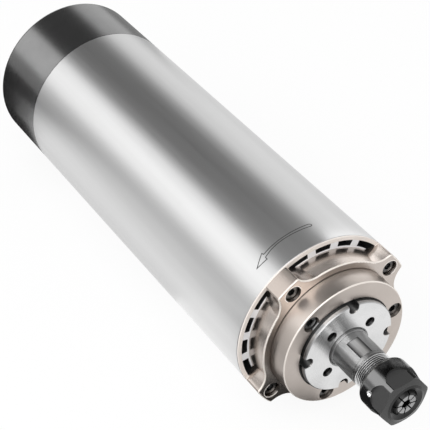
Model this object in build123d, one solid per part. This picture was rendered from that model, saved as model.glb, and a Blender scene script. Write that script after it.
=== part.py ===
from build123d import *
import math
import os

# Air-cooled motor spindle with a spring-collet nose, in millimetres.
# It lies along X with its nose towards +X. The origin is on its axis, at the middle of the tube.
# An angle is counted from +Z, right-handed about +X.

# Outside of the motor
body_diameter = 65.0
tube_length = 153.4
sleeve_wall = 1.5
cover_length = 30.3
cover_wall = 2.0
cover_floor = 3.0
edge_round = 0.5

# Front flange and its lugs
lug_count = 4
first_lug_angle = 35.0
lug_width = 9.4
lug_edge = 1.0
lug_flank_round = 8.0
lug_tip_round = 0.8
waist_inset = 1.2
waist_draft = 0.6
flange_depth = 7.8
ring_thickness = 0.5
ring_width = 1.5
ring_inset = 0.05
spigot_length = 5.0
groove_width = 0.35
groove_depth = 0.6

# Front bearing housing, seen as the disc in front of the flange
disc_clearance = 1.0
disc_edge = 0.6
disc_depth = 7.8
housing_wall = 2.6
housing_lip_thickness = 2.5
housing_lip_height = 2.4

# Bearing cap
cap_bite = 0.05
cap_step = 1.05
cap_stand = 2.3
cap_edge_break = 0.35
cap_recess_depth = 0.8
cap_recess_gap = 0.5
cap_plate_thickness = 4.0
cap_foot_width = 3.6
cap_notch_width = 4.0
cap_notch_reach = 3.4
cap_notch_depth = 5.2
first_notch_angle = -3.3
spanner_hole_diameter = 3.8
spanner_hole_depth = 3.2
spanner_circle_diameter = 22.0
first_spanner_angle = 42.0

# Screws with socket heads
screw_diameter = 3.0
screw_head_diameter = 5.5
screw_head_height = 3.0
screw_head_edge = 0.3
screw_socket = 2.5
screw_socket_depth = 1.4
counterbore_diameter = 6.0
counterbore_depth = 4.2
screw_fit = 0.05
front_screw_length = 12.0
face_screw_count = 3
first_face_screw_angle = 43.0
plate_screw_length = 10.0
plate_screw_inset = 0.9
cover_screw_bite = 3.6

# Ribbed motor frame
frame_inset = 4.0
frame_wall = 2.5
channel_depth = 2.5
rib_width = 3.2
ribs_per_side = 3
rib_pitch_angle = 17.7
press_gap = 0.02

# Stator and rotor
stack_length = 75.0
stack_offset = 0.5
slot_count = 24
slot_width = 2.6
slot_mouth = 1.0
slot_inner_diameter = 31.0
stator_yoke = 4.5
stator_bore = 28.0
winding_overhang = 15.0
winding_inner_diameter = 32.0
winding_clearance = 1.5
winding_edge = 2.0
winding_gap = 0.15
air_gap = 0.3
rotor_bar_count = 14
rotor_bar_width = 2.2
rotor_bar_height = 2.8
rotor_bar_circle = 22.8
end_ring_length = 5.0
end_ring_bore = 18.0

# Shaft
nose_diameter = 14.0
shoulder_diameter = 16.6
collar_diameter = 14.8
collar_depth = 1.0
collar_stand = 0.8
collar_edge_break = 0.2
cap_bore_gap = 0.3
front_journal_diameter = 15.0
rotor_seat_diameter = 14.6
rear_shoulder_diameter = 14.0
rear_journal_diameter = 12.0
fan_seat_diameter = 8.0
wrench_width = 13.2
wrench_start = 3.3
wrench_length = 7.7
first_wrench_angle = 13.9
nose_length = 24.4
thread_length = 12.2
thread_undercut = 0.15
thread_undercut_length = 1.0
tool_clearance_diameter = 7.0
tool_clearance_length = 15.0

# Bearings
bearing_width = 9.0
bearing_shoulder = 0.9
spacer_length = 3.0
spacer_outer_wall = 1.6
spacer_inner_wall = 1.8
rear_bearing_room = 12.0
rear_bearing_width = 8.0
ball_share = 0.56
land_share = 0.33
front_ball_count = 9
rear_ball_count = 8
ball_gap = 0.1
cage_thickness = 1.0
cage_side = 0.8
lock_nut_clearance = 1.4
lock_nut_length = 6.0
lock_nut_slot_width = 3.0
lock_nut_slot_share = 0.37
lock_nut_slots = 4

# Rear end plate
plate_thickness = 4.0
plate_rim_inset = 2.0
plate_lug_width = 7.6
plate_lug_gap = 1.0
plate_spigot_length = 3.0
plate_spigot_wall = 2.0
plate_window_width = 5.6
plate_window_length = 9.0
hub_wall = 3.0
hub_lip_thickness = 1.3
hub_lip_height = 3.0
washer_thickness = 0.4
washer_wave = 0.35
washer_waves = 3
washer_room = 1.3

# Fan on the shaft's rear end
fan_length = 11.0
fan_gap = 3.0
fan_hub_diameter = 14.0
fan_lead_gap = 1.15
fan_blades = 9
fan_chord = 11.0
fan_blade_thickness = 1.2
fan_root_pitch = 52.0
fan_tip_pitch = 28.0
clip_thickness = 0.8
clip_diameter = 10.6
clip_mouth = 3.2
clip_groove_depth = 0.5
shaft_end_stand = 2.0

# Rear cover
cover_spigot_length = 3.5
cover_spigot_wall = 0.8
cover_spigot_gap = 0.1
boss_diameter = 7.2
boss_bite = 0.1
boss_root = 0.5
grille_slots = 20
grille_slot_width = 2.4
grille_inner_diameter = 25.0
grille_screw_gap = 0.9
cover_rear_round = 1.6

# Power socket at the middle of the rear cover
socket_flange_diameter = 19.0
socket_flange_thickness = 2.0
socket_nose_diameter = 16.0
socket_nose_length = 8.0
socket_bore_diameter = 13.0
socket_tail_diameter = 14.0
socket_tail_length = 4.0
socket_insert_thickness = 6.0
socket_insert_set_back = 7.0
socket_key_width = 2.0
socket_key_height = 1.0
socket_step = 1.0
socket_nut_width = 18.0
socket_nut_thickness = 2.5
pin_count = 4
pin_diameter = 1.6
pin_circle = 8.6
pin_length = 5.2
pin_tail = 4.5
pin_tip_edge = 0.4
lead_diameter = 1.5
lead_outset = 1.4
lead_gather = 2.5

# Collet and its nut
nut_diameter = 19.0
nut_width = 17.0
nut_length = 13.1
nut_stand = 17.4
nut_rear_round = 1.7
nut_flat_length = 7.6
nut_cutter_diameter = 9.4
nut_front_land = 12.8
nut_front_bevel = 1.2
nut_mouth_diameter = 10.0
nut_mouth_depth = 0.8
nut_thread_gap = 0.08
nut_room_gap = 0.4
nut_corner_angle = 36.3
nut_dimple_diameter = 2.0
nut_dimple_depth = 0.7
nut_dimple_angle = 73.4
nut_dimple_place = 5.3
collet_length = 18.0
collet_diameter = 11.5
collet_taper_angle = 8.0
collet_face_diameter = 8.6
collet_rim_diameter = 11.0
collet_rim_length = 0.5
collet_groove_diameter = 9.5
collet_groove_length = 1.6
collet_collar_length = 0.5
collet_front_angle = 30.0
collet_slot_width = 0.45
collet_slot_reach = 14.5
collet_rear_slot_reach = 6.0
collet_back_room = 0.8
collet_edge_break = 0.35
collet_slots = 8
collet_bore = 3.175
collet_bore_length = 12.0
collet_relief_diameter = 4.4
collet_fit = 0.05
collet_run = 0.12

# Radii and places that follow from the sizes above
body_radius = body_diameter / 2
sleeve_bore_radius = body_radius - sleeve_wall
frame_core_diameter = body_diameter - 2 * (sleeve_wall + channel_depth)
frame_bore = frame_core_diameter - 2 * frame_wall
flange_waist_diameter = frame_core_diameter - 2 * waist_inset
lug_screw_circle = body_diameter - counterbore_diameter - 2 * lug_edge
disc_diameter = lug_screw_circle - counterbore_diameter - 2 * disc_clearance
face_screw_circle = disc_diameter - counterbore_diameter - 2 * disc_edge
cap_diameter = face_screw_circle - counterbore_diameter + 2 * cap_bite
cap_thread_diameter = cap_diameter - 2 * cap_step
cap_cavity_diameter = cap_thread_diameter - 2 * cap_foot_width
front_bearing_outer = cap_thread_diameter - 2 * bearing_shoulder
housing_spigot_diameter = front_bearing_outer + 2 * housing_wall
housing_lip_bore = front_bearing_outer - 2 * housing_lip_height
lock_nut_diameter = housing_lip_bore - 2 * lock_nut_clearance
slot_outer_diameter = frame_bore - 2 * stator_yoke
winding_outer_diameter = frame_bore - 2 * winding_clearance
rear_bearing_outer = frame_bore - 2 * rear_bearing_room
hub_radius = rear_bearing_outer / 2 + press_gap + hub_wall
plate_spigot_radius = frame_bore / 2 - press_gap
window_reach = (hub_radius + plate_spigot_radius - plate_spigot_wall) / 2
hub_lip_bore = rear_bearing_outer - 2 * hub_lip_height
plate_screw_circle = frame_core_diameter - 2 * plate_screw_inset
plate_rim_diameter = frame_core_diameter - 2 * plate_rim_inset
plate_lug_reach = sleeve_bore_radius - plate_lug_gap
cover_screw_circle = body_diameter - 2 * cover_wall - boss_diameter + 2 * boss_bite
grille_outer_diameter = cover_screw_circle - boss_diameter - 2 * grille_screw_gap
lead_reach = window_reach + lead_outset
fan_diameter = 2 * (lead_reach - lead_diameter / 2 - fan_lead_gap)
x_tube_rear = -tube_length / 2
x_tube_front = tube_length / 2
x_cover_rear = x_tube_rear - cover_length
x_frame_rear = x_tube_rear + frame_inset
x_flange_face = x_tube_front + flange_depth
x_disc_face = x_flange_face + disc_depth
x_cap_face = x_disc_face + cap_stand
x_cap_step = x_cap_face - collar_depth
x_collar_face = x_cap_face + collar_stand
x_bearing_a = x_cap_face - cap_plate_thickness - cap_stand - bearing_width
x_bearing_b = x_bearing_a - spacer_length - bearing_width
x_bearing_front = x_bearing_a + bearing_width
x_lock_nut = x_bearing_b - lock_nut_length
x_housing_rear = x_bearing_b - housing_lip_thickness
x_nose_end = x_cap_face + nose_length
x_thread_start = x_nose_end - thread_length
x_nut_rear = x_cap_face + nut_stand
x_nut_face = x_nut_rear + nut_length
x_collet_face = x_nut_face + collet_run
x_collet_rear = x_collet_face - collet_length
x_stack_rear = stack_offset - stack_length / 2
x_stack_front = stack_offset + stack_length / 2
x_hub_lip = x_tube_rear + hub_lip_thickness
x_rear_bearing = x_hub_lip + washer_room
x_rear_bearing_front = x_rear_bearing + rear_bearing_width
x_fan_front = x_tube_rear - fan_gap
x_fan_rear = x_fan_front - fan_length
x_shaft_rear = x_fan_rear - clip_thickness - shaft_end_stand
x_socket_mouth = x_cover_rear - socket_flange_thickness - socket_nose_length
x_socket_tail = x_cover_rear + cover_floor + socket_tail_length
x_insert_rear = x_socket_mouth + socket_insert_set_back
lug_angles = [first_lug_angle + k * 360 / lug_count for k in range(lug_count)]
side_angles = [angle + 180 / lug_count for angle in lug_angles]


def turned(*corners):
    """A solid turned about the spindle axis from (x, radius) corners."""
    return revolve(make_face(Polyline(*corners, close=True)), axis=Axis.X)


def ring(x_from, x_to, inner_radius, outer_radius):
    """A plain ring about the spindle axis."""
    return turned((x_from, inner_radius), (x_to, inner_radius), (x_to, outer_radius), (x_from, outer_radius))


def rod(x_from, x_to, radius, reach=0.0):
    """A round rod along X whose axis lies above the spindle axis by reach."""
    upright = Cylinder(radius, x_to - x_from, align=(Align.CENTER, Align.CENTER, Align.MIN))
    return Pos(x_from, 0, reach) * Rot(0, 90, 0) * upright


def prism(x_from, x_to, sketch):
    """A sketch across the axis, carried along X."""
    return extrude(Plane.YZ.offset(x_from) * sketch, x_to - x_from)


def turned_to(angle, shape):
    return Rot(angle, 0, 0) * shape


def around(shape, angles):
    return [turned_to(angle, shape) for angle in angles]


def spread(count, first=0.0):
    return [first + k * 360 / count for k in range(count)]


def group(solids):
    return Compound(children=list(solids))


def socket_screw(x_seat, length, reach, angle, nose=1):
    """A socket head screw with its head on the side that nose points to."""
    head = Cylinder(screw_head_diameter / 2, screw_head_height, align=(Align.CENTER, Align.CENTER, Align.MIN))
    head = chamfer(head.edges().group_by(Axis.Z)[-1], screw_head_edge)
    shank = Cylinder(screw_diameter / 2, length, align=(Align.CENTER, Align.CENTER, Align.MAX))
    mouth = Plane.XY.offset(screw_head_height - screw_socket_depth)
    key = extrude(mouth * RegularPolygon(screw_socket / 2, 6, major_radius=False), screw_socket_depth)
    screw = (head + shank) - key
    return turned_to(angle, Pos(x_seat, 0, reach) * Rot(0, 90 * nose, 0) * screw)


def screw_hole(x_from, x_to, reach, angles):
    return around(rod(x_from, x_to, screw_diameter / 2 + screw_fit, reach), angles)


def lobes(waist_radius, width, tip_radius, angles, flank_round=0.0):
    """A round outline with lugs that reach tip_radius, as a sketch across the axis."""
    arm = Pos(0, tip_radius) * Rectangle(width, 2 * tip_radius)
    outline = Circle(waist_radius) + [Rot(0, 0, angle) * arm for angle in angles]
    if flank_round:
        corners = [v for v in outline.vertices() if Vector(v).length < waist_radius + edge_round]
        outline = fillet(corners, flank_round)
    return outline & Circle(tip_radius)


# Outer sleeve and ribbed frame


def make_outer_sleeve():
    tube = ring(x_tube_rear, x_tube_front, sleeve_bore_radius, body_radius)
    rims = [e for e in tube.edges().filter_by(GeomType.CIRCLE) if e.radius > body_radius - press_gap]
    return chamfer(rims, edge_round / 2)


def frame_section():
    tip = sleeve_bore_radius - press_gap
    core = frame_core_diameter / 2
    middle = (ribs_per_side - 1) / 2
    ribs = [side + (k - middle) * rib_pitch_angle for side in side_angles for k in range(ribs_per_side)]
    ribbed = lobes(core, rib_width, tip, ribs)
    bosses = lobes(core, lug_width, tip, lug_angles)
    return (ribbed + bosses) - Circle(frame_bore / 2)


def make_motor_frame():
    frame = prism(x_frame_rear, x_tube_front, frame_section())
    front_depth = front_screw_length + spigot_length
    frame -= screw_hole(x_tube_front - front_depth, x_tube_front, lug_screw_circle / 2, lug_angles)
    rear_depth = plate_screw_length + plate_thickness
    frame -= screw_hole(x_frame_rear, x_frame_rear + rear_depth, plate_screw_circle / 2, lug_angles)
    return frame


# Front flange, bearing housing and bearing cap


def make_front_flange():
    waist = flange_waist_diameter / 2
    outline = lobes(waist, lug_width, body_radius, lug_angles, lug_flank_round)
    tips = [v for v in outline.vertices() if Vector(v).length > body_radius - edge_round]
    outline = fillet(tips, lug_tip_round)
    flange = prism(x_tube_front, x_flange_face, outline)
    flange = fillet(flange.faces().sort_by(Axis.X)[-1].edges(), edge_round)
    flange += turned(
        (x_tube_front, 0),
        (x_tube_front, waist + waist_draft),
        (x_flange_face - groove_depth, waist),
        (x_flange_face - groove_depth, 0),
    )
    rim = body_radius - ring_inset
    flange += ring(x_tube_front, x_tube_front + ring_thickness, body_radius - ring_width, rim)
    flange += ring(x_tube_front - spigot_length, x_tube_front, 0, frame_bore / 2 - press_gap)
    bore = housing_spigot_diameter / 2 + press_gap
    flange -= ring(x_tube_front - spigot_length, x_flange_face, 0, bore)
    flange -= ring(x_flange_face - groove_depth, x_flange_face, bore, disc_diameter / 2 + groove_width)
    flange -= screw_hole(x_tube_front, x_flange_face, lug_screw_circle / 2, lug_angles)
    seat = x_flange_face - counterbore_depth
    flange -= around(rod(seat, x_flange_face, counterbore_diameter / 2, lug_screw_circle / 2), lug_angles)
    face_angles = spread(face_screw_count, first_face_screw_angle)
    flange -= screw_hole(x_tube_front - spigot_length, x_flange_face, face_screw_circle / 2, face_angles)
    return flange


def make_flange_screws():
    seat = x_flange_face - counterbore_depth
    return group(socket_screw(seat, front_screw_length, lug_screw_circle / 2, angle) for angle in lug_angles)


def make_bearing_housing():
    disc_rear = x_flange_face - groove_depth
    race = front_bearing_outer / 2 + press_gap
    body = ring(disc_rear, x_disc_face, 0, disc_diameter / 2)
    body = fillet(body.edges().filter_by(GeomType.CIRCLE).sort_by(Axis.X)[-1], edge_round)
    body += ring(x_housing_rear, disc_rear, 0, housing_spigot_diameter / 2)
    thread = cap_thread_diameter / 2 + press_gap
    recess = cap_diameter / 2 + cap_recess_gap
    body -= turned(
        (x_housing_rear, 0),
        (x_housing_rear, housing_lip_bore / 2),
        (x_bearing_b, housing_lip_bore / 2),
        (x_bearing_b, race),
        (x_bearing_front, race),
        (x_bearing_front, thread),
        (x_disc_face - cap_recess_depth, thread),
        (x_disc_face - cap_recess_depth, recess),
        (x_disc_face, recess),
        (x_disc_face, 0),
    )
    angles = spread(face_screw_count, first_face_screw_angle)
    body -= screw_hole(disc_rear, x_disc_face, face_screw_circle / 2, angles)
    seat = x_disc_face - counterbore_depth
    body -= around(rod(seat, x_disc_face, counterbore_diameter / 2, face_screw_circle / 2), angles)
    return body


def make_housing_screws():
    seat = x_disc_face - counterbore_depth
    angles = spread(face_screw_count, first_face_screw_angle)
    return group(socket_screw(seat, front_screw_length, face_screw_circle / 2, angle) for angle in angles)


def make_bearing_cap():
    bore = collar_diameter / 2 + cap_bore_gap
    inner_bore = shoulder_diameter / 2 + cap_bore_gap
    x_plate = x_cap_face - cap_plate_thickness
    x_rim = x_disc_face - cap_recess_depth
    cap = turned(
        (x_bearing_front, cap_cavity_diameter / 2),
        (x_plate, cap_cavity_diameter / 2),
        (x_plate, inner_bore),
        (x_cap_step, inner_bore),
        (x_cap_step, bore),
        (x_cap_face, bore),
        (x_cap_face, cap_diameter / 2),
        (x_rim, cap_diameter / 2),
        (x_rim, cap_thread_diameter / 2),
        (x_bearing_front, cap_thread_diameter / 2),
    )
    face_rims = cap.faces().sort_by(Axis.X)[-1].edges()
    cap = chamfer(face_rims, cap_edge_break)
    x_hole = x_cap_face - spanner_hole_depth
    hole = rod(x_hole, x_cap_face, spanner_hole_diameter / 2, spanner_circle_diameter / 2)
    cap -= around(hole, spread(lug_count, first_spanner_angle))
    floor = cap_diameter / 2 - cap_notch_reach
    centre = floor + cap_notch_width / 2
    notch = Pos(0, centre) * Circle(cap_notch_width / 2)
    notch += Pos(0, centre + cap_diameter / 4) * Rectangle(cap_notch_width, cap_diameter / 2)
    cut = prism(x_cap_face - cap_notch_depth, x_cap_face, notch)
    return cap - around(cut, spread(lug_count, first_notch_angle))


# Bearings


def pitch_radius(outer_diameter, bore_diameter):
    return (bore_diameter + outer_diameter) / 4


def ball_size(outer_diameter, bore_diameter):
    return ball_share * (outer_diameter - bore_diameter) / 2


def make_race(x_from, width, outer_diameter, bore_diameter, side):
    """One race: side is +1 for the outer race and -1 for the inner race."""
    pitch = pitch_radius(outer_diameter, bore_diameter)
    ball = ball_size(outer_diameter, bore_diameter)
    land = pitch + side * land_share * ball
    far = outer_diameter / 2 if side > 0 else bore_diameter / 2
    blank = ring(x_from, x_from + width, min(land, far), max(land, far))
    groove = Pos(x_from + width / 2, pitch) * Circle(ball / 2 + ball_gap)
    return blank - revolve(groove, axis=Axis.X)


def make_balls(x_from, width, outer_diameter, bore_diameter, count):
    radius = ball_size(outer_diameter, bore_diameter) / 2
    ball = Pos(x_from + width / 2, 0, pitch_radius(outer_diameter, bore_diameter)) * Sphere(radius)
    return group(around(ball, spread(count)))


def make_cage(x_from, width, outer_diameter, bore_diameter, count):
    """A thin band between the races with a square pocket for each ball."""
    pitch = pitch_radius(outer_diameter, bore_diameter)
    radius = ball_size(outer_diameter, bore_diameter) / 2
    middle = x_from + width / 2
    half = radius + cage_side
    band = ring(middle - half, middle + half, pitch - cage_thickness / 2, pitch + cage_thickness / 2)
    side = 2 * (radius + ball_gap)
    pocket = Pos(middle, 0, pitch) * Box(side, side, side)
    return band - around(pocket, spread(count))


def make_spacer_outer():
    outer = front_bearing_outer / 2
    return ring(x_bearing_a - spacer_length, x_bearing_a, outer - spacer_outer_wall, outer)


def make_spacer_inner():
    inner = front_journal_diameter / 2
    return ring(x_bearing_a - spacer_length, x_bearing_a, inner, inner + spacer_inner_wall)


def make_lock_nut():
    outer = lock_nut_diameter / 2
    nut = ring(x_lock_nut, x_bearing_b, rotor_seat_diameter / 2, outer)
    nut = chamfer(nut.edges().filter_by(GeomType.CIRCLE).sort_by(Axis.X)[0:2], edge_round)
    slot_depth = lock_nut_slot_share * (outer - rotor_seat_diameter / 2)
    slot = Pos(0, outer) * Rectangle(lock_nut_slot_width, 2 * slot_depth)
    cut = prism(x_lock_nut, x_bearing_b - spacer_length, slot)
    return nut - around(cut, spread(lock_nut_slots))


# Stator and rotor


def slot_sketch(clearance):
    inner = slot_inner_diameter / 2 + clearance
    outer = slot_outer_diameter / 2 - clearance
    return Pos(0, (inner + outer) / 2) * Rectangle(slot_width - 2 * clearance, outer - inner)


def make_stator_core():
    mouth_length = slot_inner_diameter / 2
    mouth = Pos(0, mouth_length / 2 + winding_gap) * Rectangle(slot_mouth, mouth_length)
    section = Circle(frame_bore / 2 - press_gap) - Circle(stator_bore / 2)
    section -= [Rot(0, 0, a) * (slot_sketch(0) + mouth) for a in spread(slot_count)]
    return prism(x_stack_rear, x_stack_front, section)


def make_stator_windings():
    start = x_stack_rear - winding_overhang
    end = x_stack_front + winding_overhang
    windings = prism(start + winding_edge, end - winding_edge, slot_sketch(winding_gap))
    windings = windings + around(windings, spread(slot_count)[1:])
    for x_from, x_to in ((start, x_stack_rear - edge_round), (x_stack_front + edge_round, end)):
        coil = ring(x_from, x_to, winding_inner_diameter / 2, winding_outer_diameter / 2)
        windings += chamfer(coil.edges().filter_by(GeomType.CIRCLE), winding_edge)
    return windings


def rotor_bar_sketch(clearance):
    return Pos(0, rotor_bar_circle / 2) * Rectangle(rotor_bar_width + clearance, rotor_bar_height + clearance)


def make_rotor_core():
    core = ring(x_stack_rear, x_stack_front, rotor_seat_diameter / 2, stator_bore / 2 - air_gap)
    hole = prism(x_stack_rear, x_stack_front, rotor_bar_sketch(press_gap))
    return core - around(hole, spread(rotor_bar_count))


def make_rotor_cage():
    outer = stator_bore / 2 - 2 * air_gap
    bar = prism(x_stack_rear - press_gap, x_stack_front + press_gap, rotor_bar_sketch(0))
    cage = ring(x_stack_front, x_stack_front + end_ring_length, end_ring_bore / 2, outer)
    cage += ring(x_stack_rear - end_ring_length, x_stack_rear, end_ring_bore / 2, outer)
    return cage + around(bar, spread(rotor_bar_count))


# Shaft


def collet_taper_radius(x):
    """Radius of the collet's long taper at x, widest just behind its groove."""
    return collet_diameter / 2 - (x_taper_front() - x) * math.tan(math.radians(collet_taper_angle))


def x_collet_rim():
    """The front edge of the rim, where the front cone ends."""
    rise = (collet_rim_diameter - collet_face_diameter) / 2
    return x_collet_face - rise / math.tan(math.radians(collet_front_angle))


def x_groove_front():
    return x_collet_rim() - collet_rim_length


def x_taper_front():
    return x_groove_front() - collet_groove_length - collet_collar_length


def make_spindle_shaft():
    socket_mouth = collet_taper_radius(x_nose_end) + collet_fit
    socket_end = collet_taper_radius(x_collet_rear) + collet_fit
    tool_room = tool_clearance_diameter / 2
    x_room = x_collet_rear - collet_back_room
    relief = nose_diameter / 2 - thread_undercut
    rear = rear_journal_diameter / 2
    clip_groove = fan_seat_diameter / 2 - clip_groove_depth
    shaft = turned(
        (x_shaft_rear, 0),
        (x_shaft_rear, fan_seat_diameter / 2),
        (x_fan_rear - clip_thickness, fan_seat_diameter / 2),
        (x_fan_rear - clip_thickness, clip_groove),
        (x_fan_rear, clip_groove),
        (x_fan_rear, fan_seat_diameter / 2),
        (x_fan_front, fan_seat_diameter / 2),
        (x_fan_front, rear),
        (x_rear_bearing_front, rear),
        (x_rear_bearing_front, rear_shoulder_diameter / 2),
        (x_stack_rear - winding_overhang, rear_shoulder_diameter / 2),
        (x_stack_rear - winding_overhang, rotor_seat_diameter / 2),
        (x_bearing_b, rotor_seat_diameter / 2),
        (x_bearing_b, front_journal_diameter / 2),
        (x_bearing_front, front_journal_diameter / 2),
        (x_bearing_front, shoulder_diameter / 2),
        (x_cap_step - cap_bore_gap, shoulder_diameter / 2),
        (x_cap_step - cap_bore_gap, collar_diameter / 2),
        (x_collar_face - collar_edge_break, collar_diameter / 2),
        (x_collar_face, collar_diameter / 2 - collar_edge_break),
        (x_collar_face, nose_diameter / 2),
        (x_thread_start - thread_undercut_length, nose_diameter / 2),
        (x_thread_start - thread_undercut_length, relief),
        (x_thread_start, relief),
        (x_thread_start, nose_diameter / 2),
        (x_nose_end - edge_round, nose_diameter / 2),
        (x_nose_end, nose_diameter / 2 - edge_round),
        (x_nose_end, socket_mouth),
        (x_room, socket_end),
        (x_room, tool_room),
        (x_room - tool_clearance_length, tool_room),
        (x_room - tool_clearance_length - tool_room / 2, 0),
    )
    x_flat = x_cap_face + wrench_start
    waste = Pos(0, (wrench_width + nose_diameter) / 2) * Rectangle(2 * nose_diameter, nose_diameter)
    flats = around(prism(x_flat, x_flat + wrench_length, waste), spread(2, first_wrench_angle))
    return shaft - flats


# Collet and nut


def make_collet():
    rim = collet_rim_diameter / 2
    groove = collet_groove_diameter / 2
    x_collar = x_groove_front() - collet_groove_length
    body = turned(
        (x_collet_rear, 0),
        (x_collet_rear, collet_taper_radius(x_collet_rear)),
        (x_taper_front(), collet_diameter / 2),
        (x_collar, collet_diameter / 2),
        (x_collar, groove),
        (x_groove_front(), groove),
        (x_groove_front(), rim),
        (x_collet_rim(), rim),
        (x_collet_face, collet_face_diameter / 2),
        (x_collet_face, 0),
    )
    bore = collet_bore / 2
    mouth = bore + collet_edge_break
    x_relief = x_collet_face - collet_bore_length - collet_edge_break
    body -= turned(
        (x_collet_rear, 0),
        (x_collet_rear, collet_relief_diameter / 2),
        (x_relief, collet_relief_diameter / 2),
        (x_relief, bore),
        (x_collet_face - collet_edge_break, bore),
        (x_collet_face, mouth),
        (x_collet_face, 0),
    )
    blade = Pos(0, collet_diameter / 2) * Rectangle(collet_slot_width, collet_diameter)
    front_cut = prism(x_collet_face - collet_slot_reach, x_collet_face, blade)
    rear_cut = prism(x_collet_rear, x_collet_rear + collet_rear_slot_reach, blade)
    half_step = 180 / collet_slots
    body -= around(front_cut, spread(collet_slots, nut_corner_angle))
    return body - around(rear_cut, spread(collet_slots, nut_corner_angle + half_step))


def make_collet_nut():
    outer = nut_diameter / 2
    thread = nose_diameter / 2 + nut_thread_gap
    room = collet_diameter / 2 + nut_room_gap
    lip = collet_groove_diameter / 2 + collet_run
    cone_run = collet_run / math.cos(math.radians(collet_front_angle))
    x_chamber = x_nose_end + edge_round
    x_lip = x_groove_front() - collet_groove_length + collet_run
    x_cone = x_collet_rim()
    x_mouth = x_nut_face - nut_mouth_depth
    rim = collet_rim_diameter / 2 + cone_run
    mouth_run = (x_mouth - x_cone) * math.tan(math.radians(collet_front_angle))
    nut = turned(
        (x_nut_rear, thread + edge_round),
        (x_nut_rear + edge_round, thread),
        (x_chamber, thread),
        (x_chamber, room),
        (x_lip, room),
        (x_lip, lip),
        (x_groove_front() - collet_run, lip),
        (x_groove_front() - collet_run, rim),
        (x_cone, rim),
        (x_mouth, rim - mouth_run),
        (x_mouth, nut_mouth_diameter / 2),
        (x_nut_face, nut_front_land / 2),
        (x_nut_face - nut_front_bevel, outer),
        (x_nut_rear, outer),
    )
    rear_rim = [e for e in nut.edges().filter_by(GeomType.CIRCLE) if e.radius > outer - press_gap]
    nut = fillet(sorted(rear_rim, key=lambda e: e.center().X)[0], nut_rear_round)
    x_flats = x_nut_face - nut_flat_length
    tool_radius = nut_cutter_diameter / 2
    sweep = Pos(x_flats + tool_radius, 0) * Circle(tool_radius)
    sweep += Pos(x_flats + tool_radius + nut_length / 2, 0) * Rectangle(nut_length, nut_cutter_diameter)
    cutter = extrude(Plane.XY.offset(nut_width / 2) * sweep, nut_diameter)
    nut -= around(cutter, spread(6, nut_corner_angle + 30))
    tip = Pos(x_nut_rear + nut_dimple_place, 0, outer + nut_dimple_diameter / 2 - nut_dimple_depth)
    nut -= turned_to(nut_dimple_angle, tip * Sphere(nut_dimple_diameter / 2))
    return nut


# Rear plate, fan and cover


def make_rear_plate():
    reach = lobes(plate_rim_diameter / 2, plate_lug_width, plate_lug_reach, lug_angles + side_angles)
    plate = prism(x_tube_rear, x_frame_rear, reach)
    seat = rear_bearing_outer / 2 + press_gap
    plate += ring(x_frame_rear, x_rear_bearing_front, 0, hub_radius)
    spigot = plate_spigot_radius
    plate += ring(x_frame_rear, x_frame_rear + plate_spigot_length, spigot - plate_spigot_wall, spigot)
    plate -= ring(x_tube_rear, x_hub_lip, 0, hub_lip_bore / 2)
    plate -= ring(x_hub_lip, x_rear_bearing_front, 0, seat)
    window = Pos(0, window_reach) * Rectangle(plate_window_length, plate_window_width)
    cut = prism(x_tube_rear, x_frame_rear, window)
    plate -= around(cut, spread(2 * lug_count))
    plate -= screw_hole(x_tube_rear, x_frame_rear, plate_screw_circle / 2, lug_angles)
    plate -= screw_hole(x_tube_rear, x_frame_rear, cover_screw_circle / 2, side_angles)
    return plate


def make_rear_plate_screws():
    reach = plate_screw_circle / 2
    return group(socket_screw(x_tube_rear, plate_screw_length, reach, a, nose=-1) for a in lug_angles)


def make_wave_washer():
    """A flat ring bent into waves that bear on the hub's lip and on the outer race by turns."""
    inner = hub_lip_bore / 2 + edge_round
    outer = rear_bearing_outer / 2 - edge_round
    low = x_hub_lip + washer_thickness / 2 + press_gap
    steps = 12
    sections = []
    for k in range(steps + 1):
        turn = k * 360 / washer_waves / steps
        rise = washer_wave * (1 - math.cos(math.radians(washer_waves * turn)))
        place = Pos(low + rise, 0, (inner + outer) / 2)
        upright = Plane.XZ * Rectangle(washer_thickness, outer - inner)
        sections.append(turned_to(turn, place * upright))
    wave = loft(sections, ruled=True)
    return wave + around(wave, spread(washer_waves)[1:])


def make_cooling_fan():
    hub = ring(x_fan_rear, x_fan_front, fan_seat_diameter / 2, fan_hub_diameter / 2)
    middle = (x_fan_rear + x_fan_front) / 2
    root = fan_hub_diameter / 2 - edge_round
    tip = fan_diameter / 2
    stations = 4
    sections = []
    for k in range(stations):
        share = k / (stations - 1)
        pitch = fan_root_pitch + (fan_tip_pitch - fan_root_pitch) * share
        plane = Plane(origin=(middle, 0, root + (tip - root) * share), x_dir=(1, 0, 0), z_dir=(0, 0, 1))
        chord = fan_chord / max(math.cos(math.radians(pitch)), math.sin(math.radians(pitch)))
        sections.append(plane * Rot(0, 0, pitch) * Rectangle(chord, fan_blade_thickness))
    blade = loft(sections) & ring(x_fan_rear, x_fan_front, root, tip)
    return hub + around(blade, spread(fan_blades))


def make_fan_clip():
    inner = fan_seat_diameter / 2 - clip_groove_depth
    clip = ring(x_fan_rear - clip_thickness, x_fan_rear, inner, clip_diameter / 2)
    mouth = Pos(0, clip_diameter / 2) * Rectangle(clip_mouth, clip_diameter)
    return clip - prism(x_fan_rear - clip_thickness, x_fan_rear, mouth)


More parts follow.
